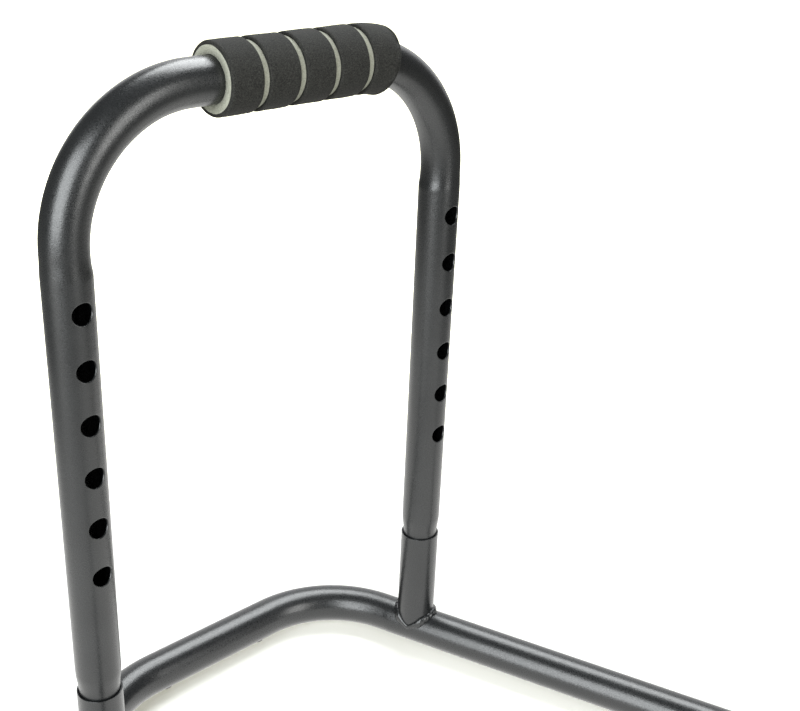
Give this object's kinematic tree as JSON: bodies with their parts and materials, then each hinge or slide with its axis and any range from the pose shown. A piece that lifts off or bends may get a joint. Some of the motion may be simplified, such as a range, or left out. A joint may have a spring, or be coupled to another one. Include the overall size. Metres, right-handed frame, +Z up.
{
  "type": "bed assist rail",
  "caption": "Bed assist rail: a hooped steel handle with a banded foam grip, plugged into sockets on a splayed base that slides under a mattress.",
  "frame": {"origin": "on the floor, under the centre of the whole rail's bounding box", "axes": "+X along the handle bar, +Y away from the bed towards the closed end of the base, +Z up"},
  "size_m": [0.585, 0.508, 0.4604],
  "materials": {
    "painted_steel": "charcoal black powder coat, semi-gloss, finely textured",
    "grey_foam": "light grey-green closed-cell foam, matt",
    "black_foam": "black closed-cell foam, matt, finely pored",
    "black_plastic": "black moulded polyethylene, fine spark texture",
    "black_rubber": "black rubber, matt",
    "spring_steel": "bright plated spring steel"
  },
  "bodies": {
    "base": {"base_tube": "painted_steel", "socket_left": "painted_steel", "socket_right": "painted_steel", "weld_bead_left": "painted_steel", "weld_bead_right": "painted_steel", "end_plug_left": "black_plastic", "end_plug_right": "black_plastic", "foot_rear_left": "black_rubber", "foot_rear_right": "black_rubber", "foot_front_left": "black_rubber", "foot_front_right": "black_rubber"},
    "handle": {"handle_hoop": "painted_steel", "grip_core": "grey_foam", "grip_band_1": "black_foam", "grip_band_2": "black_foam", "grip_band_3": "black_foam", "grip_band_4": "black_foam", "grip_band_5": "black_foam", "spring_clip_left": "spring_steel", "spring_clip_right": "spring_steel"},
    "button_left": {"snap_button_left": "spring_steel"},
    "button_right": {"snap_button_right": "spring_steel"}
  },
  "joints": [
    {"name": "handle_lift", "type": "slide", "parent": "base", "child": "handle", "axis": [0, 0, 1], "range_m": [0, 0.06], "deforming": ["snap_button_left", "snap_button_right"]},
    {"name": "button_left_press", "type": "slide", "parent": "handle", "child": "button_left", "axis": [1, 0, 0], "range_m": [0, 0.0052], "stiffness_N_per_m": 1500, "deforming": ["spring_clip_left"]},
    {"name": "button_right_press", "type": "slide", "parent": "handle", "child": "button_right", "axis": [-1, 0, 0], "range_m": [0, 0.0052], "stiffness_N_per_m": 1500, "deforming": ["spring_clip_right"]}
  ]
}
